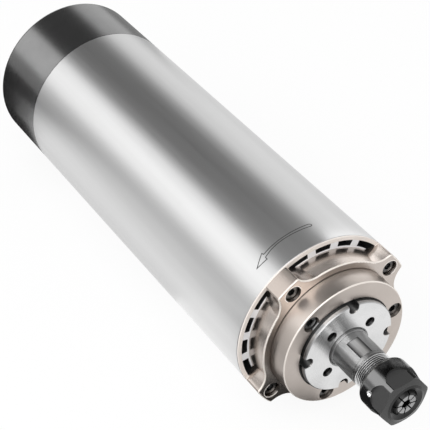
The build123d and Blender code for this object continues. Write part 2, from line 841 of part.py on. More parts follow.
def make_rear_cover():
    inner = body_radius - cover_wall
    spigot = sleeve_bore_radius - cover_spigot_gap
    x_floor = x_cover_rear + cover_floor
    cover = turned(
        (x_cover_rear, 0),
        (x_cover_rear, body_radius),
        (x_tube_rear, body_radius),
        (x_tube_rear, spigot),
        (x_tube_rear + cover_spigot_length, spigot),
        (x_tube_rear + cover_spigot_length, spigot - cover_spigot_wall),
        (x_tube_rear, spigot - cover_spigot_wall),
        (x_tube_rear, inner),
        (x_floor, inner),
        (x_floor, 0),
    )
    rear_rim = cover.faces().sort_by(Axis.X)[0].edges()
    cover = fillet(rear_rim, cover_rear_round)
    reach = cover_screw_circle / 2
    boss = rod(x_floor - boss_root, x_tube_rear, boss_diameter / 2, reach)
    cover += around(boss, side_angles)
    cover -= screw_hole(x_cover_rear, x_tube_rear, reach, side_angles)
    seat = x_cover_rear + counterbore_depth
    cover -= around(rod(x_cover_rear, seat, counterbore_diameter / 2, reach), side_angles)
    slot_length = (grille_outer_diameter - grille_inner_diameter) / 2
    slot = Rectangle(grille_slot_width, slot_length)
    cut = prism(x_cover_rear, x_floor, Pos(0, (grille_inner_diameter + slot_length) / 2) * slot)
    cover -= around(cut, spread(grille_slots))
    return cover - ring(x_cover_rear, x_floor, 0, socket_tail_diameter / 2 + press_gap)


def cover_screw_length():
    return x_tube_rear + cover_screw_bite - (x_cover_rear + counterbore_depth)


def make_cover_screws():
    seat = x_cover_rear + counterbore_depth
    reach = cover_screw_circle / 2
    return group(socket_screw(seat, cover_screw_length(), reach, a, nose=-1) for a in side_angles)


# Power socket and its leads


def make_connector_shell():
    bore = socket_bore_diameter / 2
    x_flange = x_cover_rear - socket_flange_thickness
    insert_front = x_insert_rear + socket_insert_thickness
    shell = turned(
        (x_socket_mouth, bore),
        (insert_front, bore),
        (insert_front, bore - socket_step),
        (x_socket_tail, bore - socket_step),
        (x_socket_tail, socket_tail_diameter / 2),
        (x_cover_rear, socket_tail_diameter / 2),
        (x_cover_rear, socket_flange_diameter / 2),
        (x_flange, socket_flange_diameter / 2),
        (x_flange, socket_nose_diameter / 2),
        (x_socket_mouth + edge_round, socket_nose_diameter / 2),
        (x_socket_mouth, socket_nose_diameter / 2 - edge_round),
    )
    key = Pos(0, bore) * Rectangle(socket_key_width, 2 * socket_key_height)
    rail = prism(x_socket_mouth + edge_round, x_insert_rear - press_gap, key & Circle(bore + edge_round))
    return shell + rail


def pin_angles():
    return spread(pin_count, 180 / pin_count)


def make_connector_insert():
    x_insert_front = x_insert_rear + socket_insert_thickness
    insert = ring(x_insert_rear, x_insert_front, 0, socket_bore_diameter / 2 - press_gap)
    hole = rod(x_insert_rear, x_socket_tail, pin_diameter / 2 + press_gap, pin_circle / 2)
    return insert - around(hole, pin_angles())


def make_connector_pins():
    x_tip = x_insert_rear - pin_length
    pin = rod(x_tip, x_insert_rear + socket_insert_thickness + pin_tail, pin_diameter / 2, pin_circle / 2)
    pin = chamfer(pin.edges().filter_by(GeomType.CIRCLE).sort_by(Axis.X)[0], pin_tip_edge)
    return group(around(pin, pin_angles()))


def make_connector_nut():
    x_seat = x_cover_rear + cover_floor
    hexagon = RegularPolygon(socket_nut_width / 2, 6, major_radius=False)
    nut = prism(x_seat, x_seat + socket_nut_thickness, hexagon)
    return nut - ring(x_seat, x_seat + socket_nut_thickness, 0, socket_tail_diameter / 2 + press_gap)


def make_motor_leads():
    """Four wires from the windings, straight through the plate's windows and past the fan to the pins."""
    x_start = x_stack_rear - winding_overhang
    x_pin = x_insert_rear + socket_insert_thickness + pin_tail
    x_gather = x_pin + lead_gather
    near = pin_circle / 2
    turns = [(x_start, 0, lead_reach), (x_gather, 0, lead_reach), (x_gather, 0, near), (x_pin, 0, near)]
    section = Plane(origin=(x_start, 0, lead_reach), z_dir=(-1, 0, 0)) * Circle(lead_diameter / 2)
    lead = sweep(section, Polyline(*turns), transition=Transition.RIGHT)
    return group(around(lead, pin_angles()))


makers = {
    "rear_cover": make_rear_cover,
    "cover_screws": make_cover_screws,
    "outer_sleeve": make_outer_sleeve,
    "motor_frame": make_motor_frame,
    "front_flange": make_front_flange,
    "flange_screws": make_flange_screws,
    "bearing_housing": make_bearing_housing,
    "housing_screws": make_housing_screws,
    "bearing_cap": make_bearing_cap,
    "stator_core": make_stator_core,
    "stator_windings": make_stator_windings,
    "rotor_core": make_rotor_core,
    "rotor_cage": make_rotor_cage,
    "spindle_shaft": make_spindle_shaft,
    "bearing_spacer_outer": make_spacer_outer,
    "bearing_spacer_inner": make_spacer_inner,
    "bearing_lock_nut": make_lock_nut,
    "rear_plate": make_rear_plate,
    "rear_plate_screws": make_rear_plate_screws,
    "wave_washer": make_wave_washer,
    "cooling_fan": make_cooling_fan,
    "fan_clip": make_fan_clip,
    "connector_shell": make_connector_shell,
    "connector_insert": make_connector_insert,
    "connector_pins": make_connector_pins,
    "connector_nut": make_connector_nut,
    "motor_leads": make_motor_leads,
    "collet": make_collet,
    "collet_nut": make_collet_nut,
}

front_sizes = (bearing_width, front_bearing_outer, front_journal_diameter)
rear_sizes = (rear_bearing_width, rear_bearing_outer, rear_journal_diameter)
bearings = {
    "front_bearing_a": (x_bearing_a, front_sizes, front_ball_count),
    "front_bearing_b": (x_bearing_b, front_sizes, front_ball_count),
    "rear_bearing": (x_rear_bearing, rear_sizes, rear_ball_count),
}

os.makedirs("parts", exist_ok=True)
for node, maker in makers.items():
    export_step(maker(), f"parts/{node}.step")
for name, (x_from, sizes, count) in bearings.items():
    export_step(make_race(x_from, *sizes, side=1), f"parts/{name}_outer_race.step")
    export_step(make_race(x_from, *sizes, side=-1), f"parts/{name}_inner_race.step")
    export_step(make_balls(x_from, *sizes, count), f"parts/{name}_balls.step")
    export_step(make_cage(x_from, *sizes, count), f"parts/{name}_cage.step")
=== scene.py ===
# %% [markdown]
# # An air-cooled motor spindle, dressed for a product picture
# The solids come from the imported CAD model, already in place and in metres. This script gives
# them their finishes, adds what is too fine for the solids, such as the screw thread on the nose,
# and sets up the camera and the light. The spindle lies along X with its nose towards +X.

# %% The frame
import bmesh
import bpy
import math
from mathutils import Matrix, Vector


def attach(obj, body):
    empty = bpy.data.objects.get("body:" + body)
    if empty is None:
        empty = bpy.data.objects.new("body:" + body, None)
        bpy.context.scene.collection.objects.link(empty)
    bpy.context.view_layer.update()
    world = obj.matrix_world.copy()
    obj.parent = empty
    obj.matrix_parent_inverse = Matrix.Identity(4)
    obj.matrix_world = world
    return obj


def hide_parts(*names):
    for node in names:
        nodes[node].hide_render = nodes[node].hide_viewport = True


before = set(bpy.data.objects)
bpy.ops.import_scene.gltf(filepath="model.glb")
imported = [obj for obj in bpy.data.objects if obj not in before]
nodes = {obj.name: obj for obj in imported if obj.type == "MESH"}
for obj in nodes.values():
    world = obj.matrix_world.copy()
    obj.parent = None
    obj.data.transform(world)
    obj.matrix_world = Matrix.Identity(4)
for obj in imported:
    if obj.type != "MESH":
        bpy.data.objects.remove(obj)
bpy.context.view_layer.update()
mm = 0.001
scene = bpy.context.scene

# %% [markdown]
# ## Camera
# The picture was taken from the nose end, from above, with a long lens. A camera could be placed
# by eye until the outlines agree. Here its place and its two angles were worked out from the round
# outlines of the spindle, so that it needs no roll, and the axis of the spindle runs down across
# the picture as it should.

# %% Camera
view_azimuth = math.radians(57.95)
view_elevation = math.radians(38.33)
camera_place = Vector((336.9, -204.0, 303.7)) * mm
focal_length = 109.7


def placed(name, data):
    """A new object in the scene, at the origin."""
    made = bpy.data.objects.new(name, data)
    scene.collection.objects.link(made)
    return made


camera_data = bpy.data.cameras.new("camera")
camera_data.lens = focal_length
camera_data.sensor_width = 36.0
camera_data.clip_start = 10 * mm
camera = placed("camera", camera_data)
camera.location = camera_place
back = Vector((
    math.sin(view_azimuth) * math.cos(view_elevation),
    -math.cos(view_azimuth) * math.cos(view_elevation),
    math.sin(view_elevation),
))
camera.rotation_mode = "QUATERNION"
camera.rotation_quaternion = (-back).to_track_quat("-Z", "Y")
scene.camera = camera
print("camera looks along", [round(v, 3) for v in -back])

# %% [markdown]
# ## Where the pieces end
# Many finishes change at a step of the real machine: the flange starts where the tube ends, and
# the nut is bright only on its turned round. Such places could be typed in as numbers. They are
# measured on the solids instead, so that a finish stays on its piece when the solids change.

# %% Spans of the solids


def span(node):
    """Where a CAD node starts and ends along the axis, and how far it reaches from it."""
    points = [vert.co for vert in nodes[node].data.vertices]
    along = [point.x for point in points]
    return min(along), max(along), max(math.hypot(point.y, point.z) for point in points)


_, tube_front, body_radius = span("outer_sleeve")
_, flange_front, _ = span("front_flange")
_, housing_front, _ = span("bearing_housing")
_, cap_front, cap_radius = span("bearing_cap")
_, shaft_front, _ = span("spindle_shaft")
nut_rear, nut_front, nut_radius = span("collet_nut")
print("front ends in mm: tube", round(tube_front / mm, 2), "flange", round(flange_front / mm, 2),
      "disc", round(housing_front / mm, 2), "cap", round(cap_front / mm, 2))
print("nut in mm: from", round(nut_rear / mm, 2), "to", round(nut_front / mm, 2),
      "radius", round(nut_radius / mm, 2))

# %% [markdown]
# ## Floor and world
# The spindle lies on white paper that runs on to the horizon. Stronger lamps could turn the paper
# white, but they would burn out the metal too. So the paper and the room are white only for the
# rays that see them, straight or mirrored, and they light the spindle at a plain level.

# %% Node helpers
WHITE = (1, 1, 1, 1)
scene.view_settings.view_transform = "Standard"


def new_material(name):
    material = bpy.data.materials.new(name)
    material.use_nodes = True
    material.node_tree.nodes.clear()
    return material


def add(tree, kind, **values):
    """A new node, with its plain settings and the values of its named inputs."""
    node = tree.nodes.new(kind)
    for key, value in values.items():
        if hasattr(node, key):
            setattr(node, key, value)
        else:
            node.inputs[key].default_value = value
    return node


def feed(tree, value, socket):
    """Links a node's output to an input, or sets the input to a plain value."""
    if hasattr(value, "is_linked"):
        tree.links.new(value, socket)
    else:
        socket.default_value = value


def math_node(tree, operation, *values):
    """A Math node fed by sockets or plain numbers."""
    node = add(tree, "ShaderNodeMath", operation=operation)
    for value, socket in zip(values, node.inputs):
        feed(tree, value, socket)
    return node.outputs[0]


def mixed_shader(tree, share, first, second):
    """A Mix Shader that shows the first shader where share is 0 and the second where it is 1."""
    mix = add(tree, "ShaderNodeMixShader")
    for value, socket in zip((share, first, second), mix.inputs):
        feed(tree, value, socket)
    return mix.outputs[0]


def seeing_rays(tree):
    """Two masks: rays that see a thing straight or through glass, and those with mirrored ones."""
    rays = add(tree, "ShaderNodeLightPath")
    straight = math_node(tree, "MAXIMUM", rays.outputs["Is Camera Ray"], rays.outputs["Is Transmission Ray"])
    return straight, math_node(tree, "MAXIMUM", straight, rays.outputs["Is Glossy Ray"])


print("colours are shown by the", scene.view_settings.view_transform, "view")

# %% White paper
floor_height, floor_reach = -body_radius, 6.0
paper_tone, paper_glow = 0.86, 0.9

floor_mesh = bpy.data.meshes.new("floor")
floor_corners = [(-floor_reach, -floor_reach), (floor_reach, -floor_reach), (floor_reach, floor_reach),
                 (-floor_reach, floor_reach)]
floor_mesh.from_pydata([(x, y, floor_height) for x, y in floor_corners], [], [(0, 1, 2, 3)])
floor = placed("floor", floor_mesh)

paper = new_material("white_paper")
tree = paper.node_tree
lit = add(tree, "ShaderNodeBsdfDiffuse", Color=(paper_tone, paper_tone, paper_tone, 1))
glow = add(tree, "ShaderNodeEmission", Color=WHITE, Strength=1.0)
_, seen = seeing_rays(tree)
shown = mixed_shader(tree, math_node(tree, "MULTIPLY", seen, paper_glow), lit.outputs[0], glow.outputs[0])
tree.links.new(shown, add(tree, "ShaderNodeOutputMaterial").inputs["Surface"])
floor_mesh.materials.append(paper)
print("floor at", round(floor_height / mm, 1), "mm, where the body touches it")

# %% Room
room_level, seen_level, mirrored_level = 0.55, 1.0, 0.6

world = bpy.data.worlds.new("studio_air")
scene.world = world
world.use_nodes = True
tree = world.node_tree
tree.nodes.clear()
straight, seen = seeing_rays(tree)
room = add(tree, "ShaderNodeBackground", Color=WHITE, Strength=room_level)
backdrop = add(tree, "ShaderNodeBackground", Color=WHITE)
extra = math_node(tree, "MULTIPLY", straight, seen_level - mirrored_level)
tree.links.new(math_node(tree, "ADD", extra, mirrored_level), backdrop.inputs["Strength"])
shown = mixed_shader(tree, seen, room.outputs[0], backdrop.outputs[0])
tree.links.new(shown, add(tree, "ShaderNodeOutputWorld").inputs["Surface"])
print("the room lights at", room_level, "and shows at", seen_level, "or mirrored at", mirrored_level)

# %% [markdown]
# ## Soft boxes
# Polished and satin metal shows what stands round it, so the light is built from what the metal
# should reflect. Small lamps would show as hard points. A long soft box on each side gives the
# bright bands that run the length of the body, and a square one in front lights the nose. Their
# angles are counted round the spindle's axis from straight up.

# %% Soft boxes


def around_axis(angle, reach, along):
    """A point at an angle from +Z, right-handed about the spindle's axis."""
    turn = math.radians(angle)
    return Vector((along, -reach * math.sin(turn), reach * math.cos(turn)))


def face_the_axis(place):
    """A turn that points -Z from a place straight at the spindle's axis, with X along the spindle."""
    away = (place * Vector((0, 1, 1))).normalized()
    along = Vector((1, 0, 0))
    return Matrix((along, away.cross(along), away)).transposed().to_4x4()


def soft_box(name, angle, reach, along, length, width, radiance):
    """An area lamp that faces the spindle. Its power follows from how bright its front looks."""
    lamp = bpy.data.lights.new(name, "AREA")
    lamp.shape = "RECTANGLE"
    lamp.size = length
    lamp.size_y = width
    lamp.energy = radiance * math.pi * length * width
    place = around_axis(angle, reach, along)
    placed(name, lamp).matrix_world = Matrix.Translation(place) @ face_the_axis(place)
    print(name, "gives", round(lamp.energy, 2), "watts")


soft_box("left_box", angle=49, reach=0.75, along=-0.6, length=1.9, width=0.58, radiance=1.1)
soft_box("right_box", angle=-67, reach=0.75, along=-0.6, length=1.9, width=0.6, radiance=0.58)
soft_box("front_box", angle=31, reach=0.9, along=0.75, length=1.1, width=1.1, radiance=2.6)

# %% [markdown]
# ## Cards
# The dark bands of the body are cards mirrored in it, as photographers hang them round shiny
# things. A darker room could give dark bands too, but it would dim the whole spindle. So each card
# shows only in reflections and throws no shadow. One hangs over the rear. The others lie on the
# floor: dark and grey ones for the low parts of the bands, and bright ones to lift the front end.

# %% Card helpers


def card_paper(name, level, one_sided=False):
    """A material that shows one plain level, whatever light falls on it. Its back can be clear."""
    material = new_material(name)
    tree = material.node_tree
    shown = add(tree, "ShaderNodeEmission", Color=WHITE, Strength=level).outputs[0]
    if one_sided:
        from_behind = add(tree, "ShaderNodeNewGeometry").outputs["Backfacing"]
        shown = mixed_shader(tree, from_behind, shown, add(tree, "ShaderNodeBsdfTransparent").outputs[0])
    tree.links.new(shown, add(tree, "ShaderNodeOutputMaterial").inputs["Surface"])
    return material


def card(name, points, material, faces=None):
    """A card that only reflections see, flat unless its faces are given."""
    mesh = bpy.data.meshes.new(name)
    mesh.from_pydata(points, [], faces or [tuple(range(len(points)))])
    mesh.materials.append(material)
    made = placed(name, mesh)
    made.visible_camera = False
    made.visible_diffuse = False
    made.visible_shadow = False
    print(name, "has", len(points), "corners")


# %% Cards over the rear and on the floor
top_reach = 0.6
top_corners = [(-38, -1.6), (-38, -0.2), (25, -0.2), (25, -1.6)]  # angle from straight up, place along X
over_floor = floor_height + 1 * mm


def floor_card(name, corners, level):
    """A card on the floor, from corners in metres along the spindle and across it."""
    card(name, [Vector((x, y, over_floor)) for x, y in corners], card_paper(name + "_paper", level))


card("top_card", [around_axis(angle, top_reach, along) for angle, along in top_corners],
     card_paper("grey_card", level=0.14))
floor_card("rear_card", [(-0.088, -0.015), (-0.33, -0.27), (-0.9, -0.85), (-1.5, -0.3), (-0.6, 0.0),
                         (-0.12, 0.0)], level=0.03)
floor_card("right_card", [(-0.12, 0.0), (-0.6, 0.0), (-1.8, 0.0), (-1.1, 1.0), (-0.5, 0.42),
                          (-0.244, 0.175), (-0.14, 0.06)], level=0.35)
floor_card("bounce_card", [(0.03, -0.045), (-0.01, -0.1), (-0.2, -0.115), (-0.13, -0.045)], level=1.2)
floor_card("nose_card", [(0.08, -0.005), (0.071, -0.045), (0.022, -0.115), (-0.07, -0.21), (0.4, -0.35),
                         (0.4, -0.065), (0.16, -0.065), (0.112, -0.04), (0.106, -0.002)], level=0.04)
floor_card("disc_bounce", [(0.066, -0.001), (0.06, -0.052), (0.02, -0.117), (-0.01, -0.1),
                           (0.015, -0.045), (0.02, -0.001)], level=1.3)

# %% [markdown]
# ## Cards close to the nose
# The rounds of the nut and of the front disc need cards of their own, and the tube must not mirror
# them. A flat card so close would stand in the way of other views. Each of these is part of a ring
# that stands across the axis, wider than the body, and its material is clear from behind. So it
# shows only to rays that come from the nose's side.

# %% Ring cards
ring_steps = 8


def near_card(name, first, last, along, inner, outer, level):
    """A part of a ring across the axis, between two angles from straight up and two radii."""
    angles = [first + (last - first) * k / ring_steps for k in range(ring_steps + 1)]
    points = [around_axis(angle, reach, along) for angle in angles for reach in (inner, outer)]
    faces = [(2 * k, 2 * k + 1, 2 * k + 3, 2 * k + 2) for k in range(ring_steps)]
    card(name, points, card_paper(name + "_paper", level, one_sided=True), faces)


near_card("nut_shade", -24, 22, along=0.08, inner=0.0405, outer=0.065, level=0.0)
near_card("nut_high_shade", -24, 22, along=0.1, inner=0.035, outer=0.12, level=0.0)
near_card("nut_side_shade", -100, -24, along=0.08, inner=0.0405, outer=0.065, level=0.08)
near_card("nut_high_side_shade", -100, -24, along=0.1, inner=0.035, outer=0.12, level=0.08)
near_card("disc_glow", -64, -20, along=0.06, inner=0.0492, outer=0.0575, level=2.4)

# %% [markdown]
# ## Shared shader groups
# Five effects turn up in these finishes. Their nodes could be repeated in each material, but a
# group is built once, has named inputs, and is placed in a material with that finish's own values.
# The helpers make a group, read a point's place, and turn a range of values into 0 to 1.

# %% Group helpers
FLOAT, VECTOR = "NodeSocketFloat", "NodeSocketVector"


def new_group(name, **inputs):
    """A shader group with named inputs and one output, Value, with its input and output nodes."""
    group = bpy.data.node_groups.new(name, "ShaderNodeTree")
    for socket, value in inputs.items():
        kind = VECTOR if isinstance(value, tuple) else FLOAT
        group.interface.new_socket(socket, in_out="INPUT", socket_type=kind).default_value = value
    group.interface.new_socket("Value", in_out="OUTPUT", socket_type=FLOAT)
    print("group", name, "takes", ", ".join(inputs))
    return group, add(group, "NodeGroupInput"), add(group, "NodeGroupOutput")


def object_place(tree):
    return add(tree, "ShaderNodeTexCoord").outputs["Object"]


def along_and_off_axis(tree):
    """Two sockets: a point's place along the spindle's axis and its distance from it."""
    parts = add(tree, "ShaderNodeSeparateXYZ")
    tree.links.new(object_place(tree), parts.inputs[0])
    squares = [math_node(tree, "MULTIPLY", parts.outputs[side], parts.outputs[side]) for side in "YZ"]
    return parts.outputs["X"], math_node(tree, "SQRT", math_node(tree, "ADD", *squares))


def fitted(tree, value, low, high):
    """A Map Range node that takes low to 0 and high to 1."""
    node = add(tree, "ShaderNodeMapRange", **{"From Min": low, "From Max": high})
    tree.links.new(value, node.inputs["Value"])
    return node


def spread_noise(tree, given, noise, low, high):
    """The noise of a group, spread from its usual range to the group's Low and High inputs."""
    tree.links.new(given.outputs["Scale"], noise.inputs["Scale"])
    spread = fitted(tree, noise.outputs[0], low, high)
    tree.links.new(given.outputs["Low"], spread.inputs["To Min"])
    tree.links.new(given.outputs["High"], spread.inputs["To Max"])
    return spread.outputs[0]


# %% [markdown]
# ## Fine grain
# A belt or a grinding wheel leaves short scratches along one direction, and blasting, moulding or
# blackening leaves a tiny unevenness with no direction. A picture of scratches could do this, but
# a noise needs no picture. It is stretched along one direction, or left as it is.

# %% Fine grain
grain, given, made = new_group("fine_grain", Stretch=(1.0, 1.0, 1.0), Scale=1000.0, Low=0.0, High=1.0)
stretch = add(grain, "ShaderNodeVectorMath", operation="MULTIPLY")
noise = add(grain, "ShaderNodeTexNoise", Detail=4.0, Roughness=0.6)
grain.links.new(object_place(grain), stretch.inputs[0])
grain.links.new(given.outputs["Stretch"], stretch.inputs[1])
grain.links.new(stretch.outputs[0], noise.inputs["Vector"])
grain.links.new(spread_noise(grain, given, noise, low=0.3, high=0.7), made.inputs["Value"])

# %% [markdown]
# ## Turning marks
# A lathe leaves fine rings on a faced end, all round the spindle's axis. A wave texture would make
# them all alike. A noise that reads only the distance from the axis makes each ring a little
# different, as feed and tool wear do.

# %% Turning marks
turning, given, made = new_group("turning_marks", Scale=3000.0, Low=0.0, High=1.0)
_, off_axis = along_and_off_axis(turning)
noise = add(turning, "ShaderNodeTexNoise", noise_dimensions="1D", Detail=5.0, Roughness=0.7)
turning.links.new(off_axis, noise.inputs["W"])
turning.links.new(spread_noise(turning, given, noise, low=0.25, high=0.75), made.inputs["Value"])

# %% [markdown]
# ## Slanted and rounded edges
# The broken edges of the anodised parts show as thin pale lines, which are painted highlights: the
# finishes paint them paler where these masks are 1. Extra bevel faces could carry them, but the
# solids already have these edges. One group finds the faces that slant, by how far their normal
# leans along the axis. The other finds points near a sharp edge: there the normal of the Bevel
# node, which rounds the edge, no longer agrees with the surface's own.

# %% Slanted edges
slanted, given, made = new_group("slanted_edges", Least=0.15, Most=0.95)
parts = add(slanted, "ShaderNodeSeparateXYZ")
slanted.links.new(add(slanted, "ShaderNodeTexCoord").outputs["Normal"], parts.inputs[0])
lean = math_node(slanted, "ABSOLUTE", parts.outputs["X"])
both = math_node(slanted, "MULTIPLY", math_node(slanted, "GREATER_THAN", lean, given.outputs["Least"]),
                 math_node(slanted, "LESS_THAN", lean, given.outputs["Most"]))
slanted.links.new(both, made.inputs["Value"])

# %% Rounded edges
rounded, given, made = new_group("rounded_edges", Reach=0.5 * mm)
turned_over = add(rounded, "ShaderNodeBevel", samples=12)
agree = add(rounded, "ShaderNodeVectorMath", operation="DOT_PRODUCT")
rounded.links.new(given.outputs["Reach"], turned_over.inputs["Radius"])
rounded.links.new(turned_over.outputs[0], agree.inputs[0])
rounded.links.new(add(rounded, "ShaderNodeNewGeometry").outputs["Normal"], agree.inputs[1])
differs = fitted(rounded, agree.outputs["Value"], low=0.998, high=0.93)
rounded.links.new(differs.outputs[0], made.inputs["Value"])

# %% [markdown]
# ## Band round the axis
# On a turned part, a machinist masks or skims the stretch between two places along the axis and
# two radii. The faces of such a stretch could be picked by hand. This mask reads the same four
# sizes instead, so it works on any solid however its faces are cut.

# %% Band round the axis
band, given, made = new_group("band_round_axis", From=0.0, To=1.0, Inner=0.0, Outer=1.0)
along_axis, off_axis = along_and_off_axis(band)
inside = math_node(band, "GREATER_THAN", along_axis, given.outputs["From"])
for operation, measure, limit in (("LESS_THAN", along_axis, "To"), ("GREATER_THAN", off_axis, "Inner"),
                                  ("LESS_THAN", off_axis, "Outer")):
    inside = math_node(band, "MULTIPLY", inside, math_node(band, operation, measure, given.outputs[limit]))
band.links.new(inside, made.inputs["Value"])

# %% [markdown]
# ## A finish from its parts
# Every finish here is one Principled surface. Its colour swings slightly between two tones, its
# roughness follows a grain, and a bump gives the marks of the tool that made it. Each could be
# built node by node. One helper puts the parts together instead, so that each finish below is only
# its own numbers. A second helper gives part of a finish another colour, by one of the masks.

# %% Placing a group and mixing values
# A Mix node has two inputs and an output for each kind of value, so they are known by number.
MIX_SOCKETS = {"RGBA": (6, 7, 2), "FLOAT": (2, 3, 0)}


def place_group(tree, group, **values):
    """A group placed in a material with that finish's own values."""
    node = add(tree, "ShaderNodeGroup", node_tree=group)
    for key, value in values.items():
        node.inputs[key].default_value = value
    return node.outputs[0]


def mixed_value(tree, kind, share, first, second):
    """A Mix node for colours, RGBA, or plain values, FLOAT, between two sockets or values."""
    node = add(tree, "ShaderNodeMix", data_type=kind)
    at_none, at_full, out = MIX_SOCKETS[kind]
    for value, k in ((share, 0), (first, at_none), (second, at_full)):
        feed(tree, value, node.inputs[k])
    return node.outputs[out]


def grey(value):
    return (value, value, value)


print("a Mix node's sockets by kind:", MIX_SOCKETS)

# %% Finish helper
ALL_WAYS = (1.0, 1.0, 1.0)
LENGTHWISE = (0.02, 1.0, 1.0)
CROSSWISE = (1.0, 0.02, 0.02)
bump_depth, quarter_turn = 0.01 * mm, 0.25


def finish(name, dark, light, rough, metallic=1.0, marks=grain, bump=0.1, scale=1500.0,
           stretch=ALL_WAYS, tone_scale=120.0, anisotropic=0.0):
    """A Principled finish. rough is a pair, and marks is the group that gives roughness and bump."""
    material = new_material(name)
    tree = material.node_tree
    surface = add(tree, "ShaderNodeBsdfPrincipled", Metallic=metallic)
    if anisotropic:
        surface.inputs["Anisotropic"].default_value = anisotropic
        surface.inputs["Anisotropic Rotation"].default_value = quarter_turn
        round_axis = add(tree, "ShaderNodeTangent", direction_type="RADIAL", axis="X")
        tree.links.new(round_axis.outputs[0], surface.inputs["Tangent"])
    tree.links.new(surface.outputs[0], add(tree, "ShaderNodeOutputMaterial").inputs["Surface"])
    tone = place_group(tree, grain, Stretch=stretch, Scale=tone_scale)
    colour = mixed_value(tree, "RGBA", tone, (*dark, 1), (*light, 1))
    tree.links.new(colour, surface.inputs["Base Color"])
    own = {"Scale": scale}
    if marks is grain:
        own["Stretch"] = stretch
    worn = place_group(tree, marks, Low=rough[0], High=rough[1], **own)
    tree.links.new(worn, surface.inputs["Roughness"])
    relief = add(tree, "ShaderNodeBump", Strength=bump, Distance=bump_depth)
    tree.links.new(place_group(tree, marks, **own), relief.inputs["Height"])
    tree.links.new(relief.outputs[0], surface.inputs["Normal"])
    print("finish", name, "roughness", rough[0], "to", rough[1])
    return material


# %% Recolour and dress helpers


def recolour(material, mask, colour, metallic=None, roughness=None):
    """Where mask is 1, the finish takes another colour, and another metallic and roughness if given."""
    tree = material.node_tree
    surface = next(node for node in tree.nodes if node.type == "BSDF_PRINCIPLED")
    for name, kind, value in (("Base Color", "RGBA", (*colour, 1)), ("Metallic", "FLOAT", metallic),
                              ("Roughness", "FLOAT", roughness)):
        if value is None:
            continue
        socket = surface.inputs[name]
        below = socket.links[0].from_socket if socket.is_linked else socket.default_value
        tree.links.new(mixed_value(tree, kind, mask, below, value), socket)


def recolour_band(material, colour, metallic=None, roughness=None, **limits):
    """Recolours the part of a finish inside a band round the axis."""
    recolour(material, place_group(material.node_tree, band, **limits), colour, metallic, roughness)


def dress(material, *dressed):
    """Puts one material on CAD nodes, through their slots."""
    for node in dressed:
        materials = nodes[node].data.materials
        materials.clear()
        materials.append(material)
    print(material.name, "is on", ", ".join(dressed))


# %% [markdown]
# ## The body
# The tube is satin silver, ground along its length, and the cover at the rear is a dark satin black
# that still shows the soft boxes clearly. Paint would hide the grain, so both are metal: the tube's
# grain is a noise stretched along X, and the cover's has no direction.

# %% Tube and cover
satin_silver = finish("satin_silver", grey(0.55), grey(0.59), rough=(0.32, 0.36), stretch=LENGTHWISE,
                      scale=900.0, bump=0.04)
satin_black = finish("satin_black", grey(0.19), grey(0.21), rough=(0.20, 0.26), scale=2200.0)
dress(satin_silver, "outer_sleeve")
dress(satin_black, "rear_cover")

# %% [markdown]
# ## The flange and the front disc
# Both are blasted and anodised in a pale champagne colour. One metal finish could serve for both,
# but the disc mirrors less, as a coarser blast leaves it. Their broken edges are painted paler and
# less like a mirror, as painted highlights. The tops of the lugs were skimmed to the tube's
# diameter, which leaves them darker. The ring where the tube ends is painted pale, as a painted
# highlight, and the recess behind the cap is painted near black, as painted shadow. Masks put these
# on the solid without new faces.

# %% Champagne finishes
champagne_tones = (0.535, 0.48, 0.44), (0.575, 0.52, 0.48)
# Painted highlight: the slanted edges are painted paler than the anodised faces.
slanted_edge_highlight = (0.86, 0.80, 0.74)
champagne = finish("champagne_blasted", *champagne_tones, rough=(0.22, 0.28), scale=3800.0, bump=0.2)
champagne_disc = finish("champagne_disc", *champagne_tones, rough=(0.37, 0.43), scale=3800.0, bump=0.2)
for material in (champagne, champagne_disc):
    recolour(material, place_group(material.node_tree, slanted), slanted_edge_highlight, metallic=0.4, roughness=0.4)
dress(champagne, "front_flange")
dress(champagne_disc, "bearing_housing")

# %% Lug tops, painted edge highlights, painted ring highlight and painted recess shadow
skimmed_lug, rounded_edge_highlight, painted_ring_highlight = (0.42, 0.37, 0.335), (0.92, 0.87, 0.82), (0.80, 0.74, 0.69)
recess_shadow = grey(0.015)

recolour_band(champagne, skimmed_lug, From=tube_front + 0.6 * mm, To=flange_front - 0.3 * mm,
              Inner=body_radius - 0.5 * mm)
tree = champagne.node_tree
# Painted highlight: near the rounded edges of the lugs the finish is painted paler.
near_lugs = place_group(tree, band, From=tube_front + 0.4 * mm, To=flange_front + 0.1 * mm, Inner=27.8 * mm)
near_edges = place_group(tree, rounded, Reach=0.8 * mm)
recolour(champagne, math_node(tree, "MULTIPLY", near_edges, near_lugs), rounded_edge_highlight, metallic=0.3,
         roughness=0.4)
# Painted highlight: the narrow ring where the tube meets the flange is painted pale.
recolour_band(champagne, painted_ring_highlight, metallic=0.3, roughness=0.45, From=tube_front - 0.2 * mm,
              To=tube_front + 0.51 * mm, Inner=body_radius - 1.5 * mm)
recolour_band(champagne_disc, recess_shadow, metallic=0.0, From=housing_front - 12.3 * mm,
              To=housing_front - 0.1 * mm, Outer=18.5 * mm)
print("lug tops from", round(tube_front / mm + 0.6, 1), "to", round(flange_front / mm - 0.3, 1), "mm")

# %% [markdown]
# ## The turned cap
# The cap is bare aluminium faced on a lathe. Plain roughness would give it one soft highlight. The
# rings stretch the highlight into bright fans, so the finish is anisotropic round the axis and its
# bump is the turning marks. Its recesses lie in shadow, which the masks darken further as painted
# shade. The masks also paint the side of its rim darker, as painted shade, and the foot of the rim
# near black, as a painted shadow line in the gap to the disc.

# %% Turned cap
turned_cap = finish("turned_cap", grey(0.70), grey(0.80), rough=(0.24, 0.36), marks=turning, scale=4500.0,
                    bump=0.35, anisotropic=0.85)
rim_foot, rim_reach = cap_front - 2.6 * mm, cap_radius - 0.3 * mm
